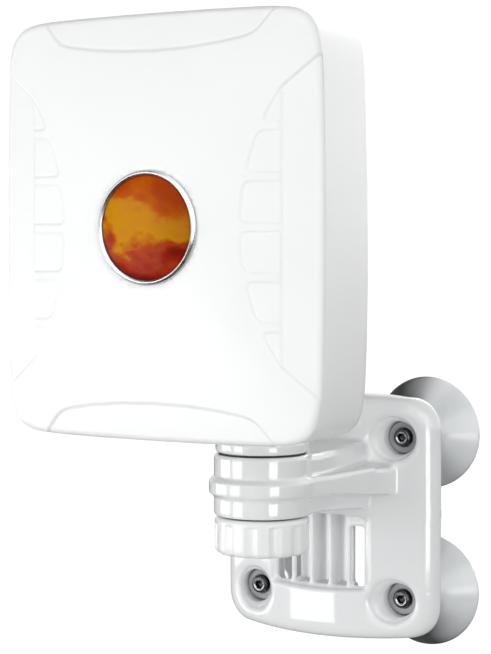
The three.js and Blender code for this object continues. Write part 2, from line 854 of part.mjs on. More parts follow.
// A printed board that stands on the reflector; the two cross with half-lap slots.
function dipoleBoard(angle, slotFront) {
  const thickness = 1.6;
  const front = -184;
  const back = REFLECTOR_FRONT - 0.3;
  let board = box(-40, 40, front, front + 9, -thickness / 2, thickness / 2);
  board = board.add(box(-9, 9, front, back, -thickness / 2, thickness / 2));
  const middle = (front + back) / 2;
  const gap = thickness / 2 + 0.3;
  const slot = slotFront
    ? box(-gap, gap, front - 1, middle + 0.3, -5, 5)
    : box(-gap, gap, middle - 0.3, back + 1, -5, 5);
  return board.subtract(slot).rotate([0, angle, 0]).translate([0, 0, PANEL_Z]);
}

place("dipole_board_a", dipoleBoard(45, true), 0x2d6b45, 0.5);
place("dipole_board_b", dipoleBoard(-45, false), 0x2d6b45, 0.5);

const feed = box(-12, 12, -156.8, -150, PANEL_Z - 9, PANEL_Z + 9);
const feedPin = rodY(3, 0, PANEL_Z, -158.4, -156, 16);
place("feed_block", feed.add(feedPin), BRASS, 0.4, 0.9);

// ---- cable gland and vent in the back cover ----

function hexY(acrossFlats, x, z, y0, y1) {
  const g = new THREE.CylinderGeometry(acrossFlats / Math.sqrt(3), acrossFlats / Math.sqrt(3), y1 - y0, 6);
  g.translate(x, (y0 + y1) / 2, z);
  return solid(g);
}

let glandBody = hexY(19, GLAND_X, GLAND_Z, -131.7, -126.5);
glandBody = glandBody.add(rodY(7.5, GLAND_X, GLAND_Z, -141, -127, 18));
glandBody = glandBody.add(rodY(6.6, GLAND_X, GLAND_Z, -127, -119, 18));
glandBody = glandBody.subtract(rodY(5, GLAND_X, GLAND_Z, -145, -110, 14));
place("gland_body", glandBody, 0x9fa2a6, 0.45);

let glandNut = hexY(18, GLAND_X, GLAND_Z, -126.2, -119.5);
glandNut = glandNut.add(
  turnedY([[0, -120], [8.4, -120], [8.2, -117], [6.6, -114.4], [0, -114.4]], GLAND_X, GLAND_Z, 18),
);
glandNut = glandNut.subtract(rodY(6.9, GLAND_X, GLAND_Z, -130, -117, 18));
glandNut = glandNut.subtract(rodY(4, GLAND_X, GLAND_Z, -130, -110, 12));
place("gland_nut", glandNut, 0x9fa2a6, 0.45);

place(
  "gland_seal",
  turnedY([[2.4, -129], [4.7, -129], [4.7, -117.6], [2.4, -117.6], [2.4, -129]], GLAND_X, GLAND_Z, 12),
  BLACK,
  0.9,
);

const ventPlug = turnedY(
  [
    [0, -138],
    [4.1, -138],
    [4.1, -131.7],
    [7, -131.7],
    [7, -129.6],
    [6, -128.4],
    [0, -128.4],
  ],
  VENT_X,
  GLAND_Z,
  28,
);
place("vent_plug", ventPlug.subtract(rodY(1.2, VENT_X, GLAND_Z, -140, -120, 8)), BLACK, 0.7);

export default group;
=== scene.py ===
import json
import math

import bpy
import numpy as np
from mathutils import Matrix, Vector


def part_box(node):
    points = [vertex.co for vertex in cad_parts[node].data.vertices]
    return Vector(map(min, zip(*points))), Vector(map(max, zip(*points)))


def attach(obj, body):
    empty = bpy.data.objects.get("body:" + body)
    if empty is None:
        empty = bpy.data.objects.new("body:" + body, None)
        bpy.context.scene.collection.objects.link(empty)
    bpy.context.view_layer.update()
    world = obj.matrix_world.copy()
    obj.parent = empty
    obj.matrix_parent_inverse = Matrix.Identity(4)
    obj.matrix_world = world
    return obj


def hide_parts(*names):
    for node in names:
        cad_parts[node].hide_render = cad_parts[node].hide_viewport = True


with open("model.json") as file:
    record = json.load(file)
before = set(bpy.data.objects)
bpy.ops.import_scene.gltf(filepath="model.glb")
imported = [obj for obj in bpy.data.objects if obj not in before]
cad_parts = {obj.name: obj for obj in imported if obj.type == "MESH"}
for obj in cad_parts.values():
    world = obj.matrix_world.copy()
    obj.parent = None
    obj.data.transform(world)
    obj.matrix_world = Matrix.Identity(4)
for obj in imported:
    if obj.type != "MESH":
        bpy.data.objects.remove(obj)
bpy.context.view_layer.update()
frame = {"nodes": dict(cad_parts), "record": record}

# Everything below is worked out in millimetres and turned into metres when a mesh is made.
MM = 0.001


def cad_box(node):
    """Low and high corners of a CAD node's box, in millimetres."""
    low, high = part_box(node)
    return np.array(low) / MM, np.array(high) / MM


def centre_xz(low, high):
    """Where a box's middle is, seen from the front."""
    return (low[0] + high[0]) / 2, (low[2] + high[2]) / 2


# ---- driving dimensions, read from the frame ----

panel_low, panel_high = cad_box("radome_front")
PANEL_Z = (panel_low[2] + panel_high[2]) / 2
PANEL_HALF_WIDTH = (panel_high[0] - panel_low[0]) / 2
PANEL_HALF_HEIGHT = (panel_high[2] - panel_low[2]) / 2
PANEL_BACK_EDGE_Y = panel_high[1]
DOME_RISE = 7.0
PANEL_APEX_Y = PANEL_BACK_EDGE_Y - 48.9
PANEL_EDGE_Y = PANEL_APEX_Y + DOME_RISE
COVER_BACK_Y = cad_box("back_cover")[1][1]

bracket_low, bracket_high = cad_box("wall_bracket")
PLATE_TOP = bracket_high[2]
PLATE_BOTTOM = bracket_low[2]
PLATE_HALF_WIDTH = bracket_high[0]
BOSS_BACK_Y = bracket_high[1]
PLATE_CROWN_Y = -45.0
PLATE_BEND = 130.0
PLATE_RIM_Y = BOSS_BACK_Y - 4.4
PLATE_WALL = 3.0
RECESS_Y = PLATE_CROWN_Y + 4.6

nut_low, nut_high = cad_box("clamp_nut")
AXIS_Y = (nut_low[1] + nut_high[1]) / 2
NUT_RADIUS = (nut_high[0] - nut_low[0]) / 2 + 0.1
NUT_LOBES = 12

cup_low, cup_high = cad_box("suction_cup_upper_right")
CUP_OFFSET = (cup_low[0] + cup_high[0]) / 2
CUP_RADIUS = (cup_high[0] - cup_low[0]) / 2
CUP_TOP_Y = cup_low[1]

BARREL_RADIUS = 22.0
BARREL_BOTTOM = 8.2
BARREL_TOP = 36.2
BORE_RADIUS = 14.2

# the plate's front pockets, strap field and slots
SEAT_Y = -24.9
POCKET_RADIUS = 8.0
STRAP_HALF_WIDTH = 27.0
STRAP_BOTTOM = -36.5
STRAP_TOP = 4.0
RIB_HALF_WIDTH = 16.0
RIB_BACK_Y = -30.4
VALLEY_Y = -32.4
SLOT_X = 19.8
SLOT_Z = -18.5

# the swivel foot's elbow and flange
COLLAR_RADIUS = 21.3
SPIGOT_RADIUS = 13.9
FLANGE_Z = 94.0
FLANGE_BACK_Y = -127.7
FLANGE_FACE_Y = -131.7

# the badge
BADGE_INNER_RADIUS = 21.4
BADGE_WELL_RADIUS = 23.9

CORNERS = {
    "upper_right": (1, 1),
    "upper_left": (-1, 1),
    "lower_right": (1, -1),
    "lower_left": (-1, -1),
}


# ---- camera, at the photograph's viewing angle ----

CAMERA_AZIMUTH = 29.62
CAMERA_DROP = 2.56
camera_data = bpy.data.cameras.new("camera")
camera_data.lens = 99.85
camera_data.sensor_width = 36.0
camera = bpy.data.objects.new("camera", camera_data)
camera.location = (0.4015, -0.8199, 0.1307)
camera.rotation_euler = (math.radians(90 - CAMERA_DROP), 0, math.radians(CAMERA_AZIMUTH))
bpy.context.scene.collection.objects.link(camera)
bpy.context.scene.camera = camera


# ---- mesh helpers ----


def piece_from(name, vertices, faces, body, material, replaced=(), smooth=True):
    """A mesh object from millimetre vertices, riding on a body and standing for CAD nodes."""
    mesh = bpy.data.meshes.new(name)
    mesh.from_pydata((np.asarray(vertices, float) * MM).tolist(), [], faces)
    mesh.validate()
    if smooth:
        mesh.shade_smooth()
    piece = bpy.data.objects.new(name, mesh)
    bpy.context.scene.collection.objects.link(piece)
    mesh.materials.append(material)
    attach(piece, body)
    if replaced:
        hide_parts(*replaced)
    return piece


def join_rings(rings, close_start=True, close_end=True):
    """Vertices and faces of a skin over rings of equal point counts."""
    rings = np.asarray(rings, float)
    levels, count = rings.shape[:2]
    vertices = rings.reshape(-1, 3)
    faces = []
    for k in range(levels - 1):
        base = k * count
        for i in range(count):
            j = (i + 1) % count
            faces.append((base + i, base + j, base + count + j, base + count + i))
    if close_start:
        faces.append(tuple(range(count))[::-1])
    if close_end:
        faces.append(tuple(range((levels - 1) * count, levels * count)))
    return vertices, faces


def turned(profile, segments, axis, centre):
    """Rings of a turned shape: profile holds (radius, place along the axis)."""
    angle = np.linspace(0, 2 * math.pi, segments, endpoint=False)
    rings = []
    for radius, along in profile:
        a, b = radius * np.cos(angle), radius * np.sin(angle)
        level = np.full(segments, float(along))
        if axis == "z":
            ring = np.stack([centre[0] + a, centre[1] + b, level], 1)
        else:
            ring = np.stack([centre[0] + b, level, centre[1] + a], 1)
        rings.append(ring)
    return rings


def rounded_profile(points, radius, steps=4):
    """The same outline with each inner corner turned into a small arc."""
    points = [np.array(p, float) for p in points]
    out = [points[0]]
    for before, here, after in zip(points, points[1:], points[2:]):
        to_before, to_after = before - here, after - here
        reach = min(radius, 0.45 * np.linalg.norm(to_before), 0.45 * np.linalg.norm(to_after))
        start = here + to_before / np.linalg.norm(to_before) * reach
        end = here + to_after / np.linalg.norm(to_after) * reach
        for t in np.linspace(0, 1, steps + 1):
            out.append((1 - t) ** 2 * start + 2 * t * (1 - t) * here + t**2 * end)
    out.append(points[-1])
    return out


# ---- fields: solids as distance functions, blended with soft edges ----


def smooth_min(a, b, k):
    """The smaller of two fields, with a fillet of size k where they meet."""
    h = np.maximum(k - np.abs(a - b), 0) / k
    return np.minimum(a, b) - h * h * k / 4


def smooth_max(a, b, k):
    """The larger of two fields, with a rounded edge of size k where they meet."""
    return -smooth_min(-a, -b, k)


def round_box(u, v, half_u, half_v, radius):
    """Distance to a rounded rectangle, u and v already folded to positive."""
    qu, qv = u - half_u + radius, v - half_v + radius
    outside = np.hypot(np.maximum(qu, 0), np.maximum(qv, 0))
    return outside + np.minimum(np.maximum(qu, qv), 0) - radius


def sample(field, points):
    """The field's value between its grid points."""
    top = np.array(field.shape) - 2
    cell = np.clip(np.floor(points).astype(int), 0, top)
    f = np.clip(points - cell, 0, 1)
    value = 0
    for i in (0, 1):
        for j in (0, 1):
            for k in (0, 1):
                weight = (
                    (f[:, 0] if i else 1 - f[:, 0])
                    * (f[:, 1] if j else 1 - f[:, 1])
                    * (f[:, 2] if k else 1 - f[:, 2])
                )
                value = value + weight * field[cell[:, 0] + i, cell[:, 1] + j, cell[:, 2] + k]
    return value


def surface(field):
    """Closed quads on the field's zero level, in grid units (surface nets, then relaxed)."""
    shape = np.array(field.shape)
    strides = np.array([shape[1] * shape[2], shape[2], 1])
    cell_ids, crossings, quads = [], [], []
    for axis in range(3):
        low = np.take(field, range(shape[axis] - 1), axis)
        high = np.take(field, range(1, shape[axis]), axis)
        at = np.argwhere((low < 0) != (high < 0))
        a, b = low[tuple(at.T)], high[tuple(at.T)]
        point = at.astype(float)
        point[:, axis] += a / (a - b)
        u, v = [n for n in range(3) if n != axis]
        around = []
        for du, dv in ((0, 0), (1, 0), (1, 1), (0, 1)):
            cell = at.copy()
            cell[:, u] -= du
            cell[:, v] -= dv
            ids = cell @ strides
            around.append(ids)
            cell_ids.append(ids)
            crossings.append(point)
        quad = np.stack(around, 1)
        outward = (a < 0) if axis != 1 else (a >= 0)
        quad[~outward] = quad[~outward][:, ::-1]
        quads.append(quad)
    ids, where = np.unique(np.concatenate(cell_ids), return_inverse=True)
    where = where.reshape(-1)
    points = np.concatenate(crossings)
    count = np.bincount(where)
    vertices = np.stack([np.bincount(where, points[:, n]) / count for n in range(3)], 1)
    faces = np.searchsorted(ids, np.concatenate(quads))
    ends = np.concatenate([faces[:, [n, (n + 1) % 4]] for n in range(4)])
    links = np.bincount(ends.ravel(), minlength=len(vertices))
    for _ in range(3):
        near = np.zeros_like(vertices)
        for n in range(3):
            near[:, n] = np.bincount(ends[:, 0], vertices[ends[:, 1], n], len(vertices))
            near[:, n] += np.bincount(ends[:, 1], vertices[ends[:, 0], n], len(vertices))
        vertices = vertices + 0.6 * (near / links[:, None] - vertices)
        value = sample(field, vertices)
        slope = np.stack(
            [
                sample(field, vertices + step) - sample(field, vertices - step)
                for step in 0.5 * np.eye(3)
            ],
            1,
        )
        size = np.maximum((slope**2).sum(1), 0.05)
        vertices = vertices - slope * np.clip(value / size, -0.7, 0.7)[:, None]
    return vertices, faces


def moulded(name, shape, low, high, step, body, material, replaced):
    """A piece from a distance function over a box of space."""
    step = step * 1
    axes = [np.arange(a, b + step, step, dtype=np.float32) for a, b in zip(low, high)]
    x, y, z = axes[0][:, None, None], axes[1][None, :, None], axes[2][None, None, :]
    field = np.ascontiguousarray(
        np.broadcast_to(shape(x, y, z), [len(n) for n in axes]), dtype=np.float32
    )
    vertices, faces = surface(field / step)
    vertices = vertices * step + np.array([n[0] for n in axes])
    return piece_from(name, vertices, faces.tolist(), body, material, replaced)


# ---- materials ----


class Nodes:
    """Short names for building one material's node tree."""

    def __init__(self, name):
        self.material = bpy.data.materials.new(name)
        self.material.use_nodes = True
        self.tree = self.material.node_tree
        self.shader = self.tree.nodes["Principled BSDF"]
        self.place = self.add("ShaderNodeTexCoord").outputs["Object"]

    def add(self, kind, inputs=None, **settings):
        node = self.tree.nodes.new(kind)
        for key, value in settings.items():
            setattr(node, key, value)
        for key, value in (inputs or {}).items():
            if isinstance(value, bpy.types.NodeSocket):
                self.tree.links.new(value, node.inputs[key])
            else:
                node.inputs[key].default_value = value
        return node

    def noise(self, scale, detail=4.0, roughness=0.5, distortion=0.0, place=None):
        inputs = {"Vector": place or self.place, "Scale": scale, "Detail": detail}
        inputs |= {"Roughness": roughness, "Distortion": distortion}
        return self.add("ShaderNodeTexNoise", inputs)

    def span(self, value, low, high, to_low, to_high):
        inputs = {"Value": value, "From Min": low, "From Max": high, "To Min": to_low, "To Max": to_high}
        return self.add("ShaderNodeMapRange", inputs).outputs["Result"]

    def ramp(self, value, stops):
        node = self.add("ShaderNodeValToRGB", {"Fac": value})
        ramp = node.color_ramp
        while len(ramp.elements) < len(stops):
            ramp.elements.new(0.5)
        for element, (at, colour) in zip(ramp.elements, stops):
            element.position = at
            element.color = (*colour, 1)
        return node.outputs["Color"]

    def bump(self, height, strength, distance, normal=None):
        inputs = {"Height": height, "Strength": strength, "Distance": distance}
        if normal:
            inputs["Normal"] = normal
        return self.add("ShaderNodeBump", inputs).outputs["Normal"]

    def set(self, **values):
        for key, value in values.items():
            socket = self.shader.inputs[key.replace("_", " ")]
            if isinstance(value, bpy.types.NodeSocket):
                self.tree.links.new(value, socket)
            else:
                socket.default_value = value
        return self.material


def moulded_plastic(name, light, dark, roughness, grain=0.00004, gloss=1.5):
    """Plastic with a faint flow mottle in colour and gloss, and a fine tool grain."""
    n = Nodes(name)
    flow = n.noise(22, 3, 0.55, 0.6).outputs["Fac"]
    fine = n.noise(2600, 2, 0.6).outputs["Fac"]
    wave = n.noise(160, 2, 0.4).outputs["Fac"]
    colour = n.ramp(flow, [(0.3, dark), (0.7, light)])
    rough = n.span(flow, 0.3, 0.7, roughness * 0.85, roughness * 1.2)
    normal = n.bump(wave, 0.06, 0.0004)
    normal = n.bump(fine, 0.25, grain, normal)
    return n.set(Base_Color=colour, Roughness=rough, Normal=normal, IOR=gloss)


def metal(name, light, dark, roughness, stretch=(1, 1, 1), grain=900):
    """Metal with fine drawn lines along one axis."""
    n = Nodes(name)
    place = n.add("ShaderNodeMapping", {"Vector": n.place, "Scale": stretch}).outputs["Vector"]
    lines = n.noise(grain, 3, 0.6, 0, place).outputs["Fac"]
    patch = n.noise(70, 3, 0.5).outputs["Fac"]
    colour = n.ramp(patch, [(0.3, dark), (0.7, light)])
    rough = n.span(lines, 0.3, 0.7, roughness * 0.75, roughness * 1.35)
    return n.set(
        Base_Color=colour, Metallic=1.0, Roughness=rough, Normal=n.bump(lines, 0.2, 0.00003)
    )


def rubber(name, colour, roughness, sheen=0.0):
    """Dark rubber with a fine matt grain and a slight mottle."""
    n = Nodes(name)
    fine = n.noise(1800, 3, 0.65).outputs["Fac"]
    patch = n.noise(60, 3, 0.5).outputs["Fac"]
    pale = tuple(min(1, c * 1.12 + 0.01) for c in colour)
    deep = tuple(c * 0.88 for c in colour)
    return n.set(
        Base_Color=n.ramp(patch, [(0.3, deep), (0.7, pale)]),
        Roughness=n.span(fine, 0.3, 0.7, roughness * 0.85, roughness * 1.15),
        Normal=n.bump(fine, 0.3, 0.00006),
        Sheen_Weight=sheen,
    )


def cup_vinyl():
    """Soft pale grey vinyl: a faint mottle, a glossy skin and a little light through it."""
    n = Nodes("cup_vinyl")
    flow = n.noise(45, 3, 0.5, 0.4).outputs["Fac"]
    fine = n.noise(1500, 2, 0.5).outputs["Fac"]
    colour = n.ramp(flow, [(0.3, (0.74, 0.765, 0.78)), (0.7, (0.79, 0.81, 0.82))])
    n.set(
        Base_Color=colour,
        Roughness=n.span(flow, 0.3, 0.7, 0.16, 0.24),
        Normal=n.bump(fine, 0.15, 0.00004),
        IOR=1.53,
        Subsurface_Weight=0.12,
        Subsurface_Radius=(0.004, 0.004, 0.004),
        Subsurface_Scale=1.0,
    )
    # the wet-looking skin of soft vinyl mirrors the room where it is seen at a slant
    slant = n.add("ShaderNodeLayerWeight", {"Blend": 0.5}).outputs["Facing"]
    share = n.span(slant, 0.1, 0.4, 0.0, 0.96)
    skin = n.add("ShaderNodeBsdfGlossy", {"Color": (0.66, 0.675, 0.68, 1), "Roughness": 0.28})
    mix = n.add("ShaderNodeMixShader", {0: share, 1: n.shader.outputs["BSDF"], 2: skin.outputs["BSDF"]})
    n.tree.links.new(mix.outputs["Shader"], n.tree.nodes["Material Output"].inputs["Surface"])
    return n.material


def amber_marble():
    """Clouded amber: a gold band between burnt orange above and red below, under a clear coat."""
    n = Nodes("badge_amber")
    centred = n.add(
        "ShaderNodeMapping", {"Vector": n.place, "Location": (0, 0, -PANEL_Z * MM)}
    ).outputs["Vector"]
    turn = {"Location": (0.31, 0.2, 0.07), "Rotation": (0, 0.5, 0), "Scale": (0.8, 1, 1.25)}
    drawn = n.add("ShaderNodeMapping", {"Vector": centred, **turn}).outputs["Vector"]
    parts = n.add("ShaderNodeSeparateXYZ", {"Vector": centred})
    edge = 0.021
    across = n.span(parts.outputs["X"], -edge, edge, -0.12, 0.12)
    right = n.span(parts.outputs["X"], 0.0, edge, 1.0, 0.72)
    upward = n.span(parts.outputs["Z"], -edge, edge, 0.03, 0.97)
    broad = n.noise(66, 2, 0.5, 0.3, drawn).outputs["Fac"]
    fine = n.noise(210, 4, 0.6, 0.4, drawn).outputs["Fac"]
    cloud = n.span(broad, 0.25, 0.75, -0.24, 0.24)
    wisp = n.span(fine, 0.25, 0.75, -0.07, 0.07)
    value = upward
    for extra in (across, cloud, wisp):
        value = n.add("ShaderNodeMath", {0: value, 1: extra}, operation="ADD").outputs["Value"]
    colour = n.ramp(
        value,
        [
            (0.04, (0.1, 0.007, 0.003)),
            (0.2, (0.3, 0.012, 0.003)),
            (0.33, (0.4, 0.05, 0.003)),
            (0.45, (0.54, 0.23, 0.001)),
            (0.6, (0.53, 0.2, 0.008)),
            (0.72, (0.46, 0.09, 0.002)),
            (0.9, (0.38, 0.045, 0.002)),
        ],
    )
    shaded = n.add(
        "ShaderNodeHueSaturation", {"Color": colour, "Value": right, "Saturation": 1.0}
    ).outputs["Color"]
    return n.set(
        Base_Color=shaded,
        Roughness=0.3,
        Specular_IOR_Level=0.03,
        Coat_Weight=0.06,
        Coat_Roughness=0.1,
    )


WHITE = moulded_plastic(
    "white_moulding", (0.84, 0.852, 0.856), (0.815, 0.828, 0.834), 0.07, 0.00001, 1.62
)
RADOME = moulded_plastic("radome_white", (0.88, 0.887, 0.887), (0.865, 0.872, 0.872), 0.34)
COVER = moulded_plastic("cover_white", (0.84, 0.845, 0.84), (0.81, 0.815, 0.81), 0.42, 0.00012)
NUT_WHITE = moulded_plastic("nut_white", (0.9, 0.907, 0.907), (0.88, 0.888, 0.888), 0.2)
CUP = cup_vinyl()
AMBER = amber_marble()
BLACK_STEEL = metal("black_oxide", (0.12, 0.12, 0.125), (0.07, 0.07, 0.075), 0.3)
STEEL = metal("screw_steel", (0.62, 0.63, 0.64), (0.5, 0.51, 0.52), 0.26, (1, 0.1, 1))
BRASS = metal("brass", (0.72, 0.55, 0.28), (0.6, 0.44, 0.2), 0.3, (1, 0.1, 1))
ALUMINIUM = metal("reflector_aluminium", (0.76, 0.77, 0.78), (0.68, 0.69, 0.7), 0.32, (0.05, 1, 1), 700)
CHROME = metal("badge_chrome", (0.7, 0.71, 0.72), (0.64, 0.65, 0.66), 0.3, (1, 1, 1), 400)
WASHER = rubber("washer_black", (0.02, 0.02, 0.022), 0.5)
SEAL = rubber("seal_rubber", (0.028, 0.028, 0.028), 0.75, 0.2)
VENT = moulded_plastic("vent_black", (0.03, 0.03, 0.032), (0.02, 0.02, 0.022), 0.45, 0.0001)
WASHER_GREY = moulded_plastic("washer_grey", (0.42, 0.425, 0.43), (0.37, 0.375, 0.38), 0.35, 0.00006)
GLAND = moulded_plastic("gland_grey", (0.33, 0.34, 0.35), (0.29, 0.3, 0.31), 0.42, 0.0001)


def board_green():
    """Printed board: green lacquer with copper-coloured strips showing under it."""
    n = Nodes("board_green")
    weave = n.noise(900, 2, 0.5).outputs["Fac"]
    strips = n.add(
        "ShaderNodeTexWave", {"Vector": n.place, "Scale": 60.0, "Distortion": 0.4}, bands_direction="Y"
    ).outputs["Fac"]
    colour = n.ramp(strips, [(0.55, (0.02, 0.13, 0.06)), (0.62, (0.05, 0.24, 0.1))])
    return n.set(Base_Color=colour, Roughness=0.35, Normal=n.bump(weave, 0.2, 0.00005))


BOARD = board_green()

# which material each of the record's slots gets
SLOT_MATERIALS = {
    "brass": BRASS,
    "screw_black": BLACK_STEEL,
    "screw_steel": STEEL,
    "washer_black": WASHER,
    "seal_rubber": SEAL,
    "vent_black": VENT,
    "badge_chrome": CHROME,
    "reflector_aluminium": ALUMINIUM,
    "board_green": BOARD,
    "gland_grey": GLAND,
    "cover_white": COVER,
    "cup_vinyl": CUP,
    "nut_white": NUT_WHITE,
    "white_moulding": WHITE,
    "radome_white": RADOME,
    "badge_amber": AMBER,
    "badge_clear": AMBER,
}
SLOT_OF_NODE = {part["node"]: part["material_slot"] for part in frame["record"]["subparts"]}

for node, thing in frame["nodes"].items():
    thing.data.materials.clear()
    thing.data.materials.append(SLOT_MATERIALS[SLOT_OF_NODE[node]])


# ---- bracket: bowed plate, strap slots, arm and barrel in one moulding ----


def bracket_shape(x, y, z):
    wide = np.abs(x)
    middle, tall = (PLATE_TOP + PLATE_BOTTOM) / 2, (PLATE_TOP - PLATE_BOTTOM) / 2
    bowed = np.abs(z - middle) + 3.0 * (x / PLATE_HALF_WIDTH) ** 2
    sides = wide + 0.6 * ((z - middle) / tall) ** 2
    outline = round_box(sides, bowed, PLATE_HALF_WIDTH, tall, 14)
    bend = np.hypot(x, y - PLATE_CROWN_Y - PLATE_BEND) - PLATE_BEND
    outer = smooth_max(outline, bend, 8)
    outer = smooth_max(outer, y - PLATE_RIM_Y, 1)
    inner = smooth_max(outline + PLATE_WALL, bend + PLATE_WALL, 6)
    body = smooth_max(outer, -inner, 1)

    # walls and bosses behind the plate
    lattice = np.minimum(np.abs(wide - 28), np.minimum(np.abs(z - 3), np.abs(z + 37))) - 1
    lattice = np.maximum(np.maximum(lattice, inner - 1.5), y - PLATE_RIM_Y)
    body = smooth_min(body, lattice, 1.5)
    from_screw = np.hypot(wide - CUP_OFFSET, np.abs(z) - CUP_OFFSET)
    flare = 11 + 0.75 * np.clip(-33.5 - y, 0, 7)
    boss = np.maximum(smooth_max(from_screw - flare, y - BOSS_BACK_Y, 1), -40.5 - y)
    boss = smooth_max(boss, inner - 1.5, 1)
    body = smooth_min(body, boss, 1.5)

    # floor of the strap field, and the block the ribs are cut from
    field = np.maximum(np.maximum(wide - STRAP_HALF_WIDTH, z - STRAP_TOP), STRAP_BOTTOM - z)
    floor = np.maximum(field, np.maximum(RECESS_Y - y, y - RECESS_Y - PLATE_WALL))
    body = np.minimum(body, floor)
    block = np.maximum(np.maximum(wide - RIB_HALF_WIDTH, z - STRAP_TOP), STRAP_BOTTOM - z)
    block = np.maximum(block, np.maximum(RECESS_Y - y, y - RIB_BACK_Y))
    body = np.minimum(body, block)

    # arm: a tall web and a wider band round its middle
    run = np.clip((y - AXIS_Y) / 59.4, 0, 1.1)
    past = np.clip((run - 0.3) / 0.7, 0, 1.1)
    web = smooth_max(wide - (21.5 + 5.5 * run), z - (BARREL_TOP - 0.3 + 2.2 * past), 3)
    web = smooth_max(web, BARREL_BOTTOM + 0.3 - 3.4 * past - z, 3)
    ahead = np.maximum(AXIS_Y - y, -(bend + 2.4))
    web = np.maximum(web, ahead)
    band = smooth_max(wide - (23.6 + 15.6 * run), z - (25.9 + 2.1 * past), 2)
    band = smooth_max(band, 16.8 - 4.1 * past - z, 2)
    band = np.maximum(band, ahead)
    from_axis = np.hypot(x, y - AXIS_Y)
    ridge = 2.3 * np.clip((4.7 - np.abs(z - 21.4)) / 1.9, 0, 1)
    middle_z, half_z = (BARREL_TOP + BARREL_BOTTOM) / 2, (BARREL_TOP - BARREL_BOTTOM) / 2
    barrel = smooth_max(from_axis - BARREL_RADIUS - ridge, np.abs(z - middle_z) - half_z, 1.6)
    arm = smooth_min(web, band, 1.6)
    arm = smooth_min(arm, barrel, 1.4)
    body = smooth_min(body, arm, 2.6)

    # dished field for the strap, its two slots and the valleys between the ribs
    rise = RECESS_Y - y
    dish = smooth_max((wide - 23.8 - 1.7 * rise) / 1.97, (z - 0.5 - 0.3 * rise) / 1.04, 2)
    dish = smooth_max(dish, (-33.6 - 0.45 * rise - z) / 1.1, 2)
    dish = np.maximum(dish, np.maximum(-rise, rise - 8))
    body = smooth_max(body, -dish, 1.2)
    valley_x = np.minimum(wide, np.abs(wide - 10))
    valley = round_box(valley_x, np.abs(z + 16), 4.1, 17.4, 1.5)
    valley = smooth_max(valley, y - VALLEY_Y, 1.5)
    body = smooth_max(body, -valley, 1)
    tuck = 1.4 * np.clip((y + 38.4) / 1.2, 0, 1)
    from_slot = np.abs(wide - SLOT_X + tuck / 2), np.abs(z - SLOT_Z)
    slot = round_box(*from_slot, 3.8 + tuck / 2, 14.5, 1.8)
    slot = np.maximum(slot, -52 - y)
    body = smooth_max(body, -slot, 1)

    # screw pockets: a wide scoop that runs into a deep counterbore
    scoop = from_screw - POCKET_RADIUS - 0.5 * np.clip(-33.5 - y, 0, 8)
    pocket = np.maximum(scoop / 1.12, y - SEAT_Y)
    body = smooth_max(body, -np.maximum(pocket, -50 - y), 3.4)
    body = np.maximum(body, -np.maximum(from_screw - 2.9, -30 - y))

    # bore for the swivel, seat of its ring, and cores under the arm
    body = smooth_max(body, -(from_axis - BORE_RADIUS), 0.8)
    body = smooth_max(body, -np.maximum(from_axis - 20, BARREL_TOP - 0.9 - z), 0.5)
    core = np.maximum(np.abs(wide - 9.2) - 7.6, np.abs(y + 61) - 11)
    return smooth_max(body, -np.maximum(core, z - 30), 1)


moulded(
    "bracket_moulding",
    bracket_shape,
    (-61, -125, -62),
    (61, -19, 63),
    0.7,
    "bracket",
    WHITE,
    ["wall_bracket"],
)


# ---- suction cups ----


def cup_profile():
    outside = [
        (0.01, CUP_TOP_Y),
        (9.0, CUP_TOP_Y),
        (9.5, CUP_TOP_Y + 0.8),
        (9.5, CUP_TOP_Y + 3.2),
        (11.2, -15.6),
        (14.6, -11.4),
        (19.8, -6.9),
        (24.6, -3.0),
        (CUP_RADIUS - 0.5, -0.95),
        (CUP_RADIUS, -0.35),
        (CUP_RADIUS - 0.3, 0),
        (CUP_RADIUS - 2, -0.02),
    ]
    inside = [(CUP_RADIUS - 3, -0.35), (20, -1.4), (12, -2.6), (0.01, -3.1)]
    return rounded_profile(outside + inside, 1.6, 5)


for corner, (side, up) in CORNERS.items():
    rings = turned(cup_profile(), 96, "y", (side * CUP_OFFSET, up * CUP_OFFSET))
    vertices, faces = join_rings(rings)
    piece_from(
        "cup_" + corner, vertices, faces, "bracket", CUP, ["suction_cup_" + corner]
    )


# ---- cap screws with hexagon sockets ----


def cap_screw(corner, side, up):
    low, high = cad_box("cap_screw_" + corner)
    front, radius = low[1], (high[0] - low[0]) / 2
    centre = (side * CUP_OFFSET, up * CUP_OFFSET)
    segments = 72
    angle = np.linspace(0, 2 * math.pi, segments, endpoint=False)
    to_flat = (angle + math.pi / 6) % (math.pi / 3) - math.pi / 6
    hexagon = 2.0 / np.cos(to_flat)

    def ring(radii, y):
        radii = np.broadcast_to(radii, segments)
        across, up_down = centre[0] + radii * np.sin(angle), centre[1] + radii * np.cos(angle)
        return np.stack([across, np.full(segments, y), up_down], 1)

    knurl = radius - 0.12 * (np.arange(segments) % 2)
    rings = [
        ring(1.9, front + 3.4),
        ring(hexagon * 0.98, front + 3.2),
        ring(hexagon, front + 0.35),
        ring(2.62, front + 0.02),
        ring(2.8, front),
        ring(radius - 0.6, front),
        ring(radius - 0.15, front + 0.3),
        ring(knurl, front + 0.9),
        ring(knurl, front + 4.4),
        ring(radius - 0.1, front + 5),
        ring(2.5, front + 5),
        ring(2.5, high[1]),
    ]
    vertices, faces = join_rings(rings)
    piece = piece_from(
        "hex_screw_" + corner,
        vertices,
        faces,
        "bracket",
        BLACK_STEEL,
        ["cap_screw_" + corner],
        smooth=False,
    )
    # painted highlight: the rim and chamfer round the hex socket get bright steel on the black-oxide
    # head, standing in for the thin bright ring the light makes there
    piece.data.materials.append(STEEL)
    for face in piece.data.polygons:
        level = face.index // segments
        face.use_smooth = level not in (1, 2, 5)
        if level in (2, 3):
            face.material_index = 1


for corner, (side, up) in CORNERS.items():
    cap_screw(corner, side, up)


